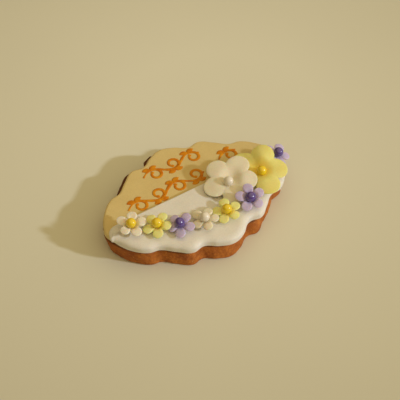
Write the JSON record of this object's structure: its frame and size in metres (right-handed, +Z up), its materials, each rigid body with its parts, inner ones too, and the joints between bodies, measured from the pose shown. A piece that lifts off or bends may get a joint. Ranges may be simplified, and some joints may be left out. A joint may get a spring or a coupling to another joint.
{
  "type": "iced sugar cookie",
  "caption": "Scalloped plaque-shaped sugar cookie under a tan and a white fondant sheet, with a band of cupped sugar blossoms and pearls along its front.",
  "frame": {"origin": "centre of the bounding box at its lowest level, on the surface that the cookie lies on", "axes": "+Z up, square to the flat base, along the shortest extent; +X along the cookie's long axis, towards its end with the large blossoms; -Y towards the white half"},
  "size_m": [0.089, 0.0606, 0.0195],
  "materials": {
    "baked_dough": "matt, golden brown, finely pitted baked dough",
    "tan_fondant": "smooth satin sugar paste, light tan",
    "white_fondant": "smooth satin sugar paste, white",
    "blossom_white": "matt sugar paste, white",
    "blossom_cream": "matt sugar paste, cream",
    "blossom_yellow": "matt sugar paste, pale yellow",
    "blossom_purple": "matt sugar paste, lilac",
    "pearl_gold": "glossy pearl sugar ball, golden yellow",
    "pearl_violet": "glossy pearl sugar ball, deep violet",
    "pearl_ivory": "glossy pearl sugar ball, ivory",
    "orange_paint": "edible paint brushed on thinly, orange"
  },
  "bodies": {
    "root": {"cookie_base": "baked_dough", "tan_icing": "tan_fondant", "white_icing": "white_fondant", "blossom_white_1": "blossom_white", "blossom_yellow_2": "blossom_yellow", "blossom_purple_3": "blossom_purple", "blossom_cream_4": "blossom_cream", "blossom_yellow_5": "blossom_yellow", "blossom_purple_6": "blossom_purple", "blossom_cream_7": "blossom_cream", "blossom_yellow_8": "blossom_yellow", "blossom_purple_9": "blossom_purple", "pearl_white_1": "pearl_gold", "pearl_yellow_2": "pearl_gold", "pearl_purple_3": "pearl_violet", "pearl_cream_4": "pearl_ivory", "pearl_yellow_5": "pearl_gold", "pearl_purple_6": "pearl_violet", "pearl_cream_7": "pearl_ivory", "pearl_yellow_8": "pearl_gold", "pearl_purple_9": "pearl_violet"}
  },
  "joints": []
}
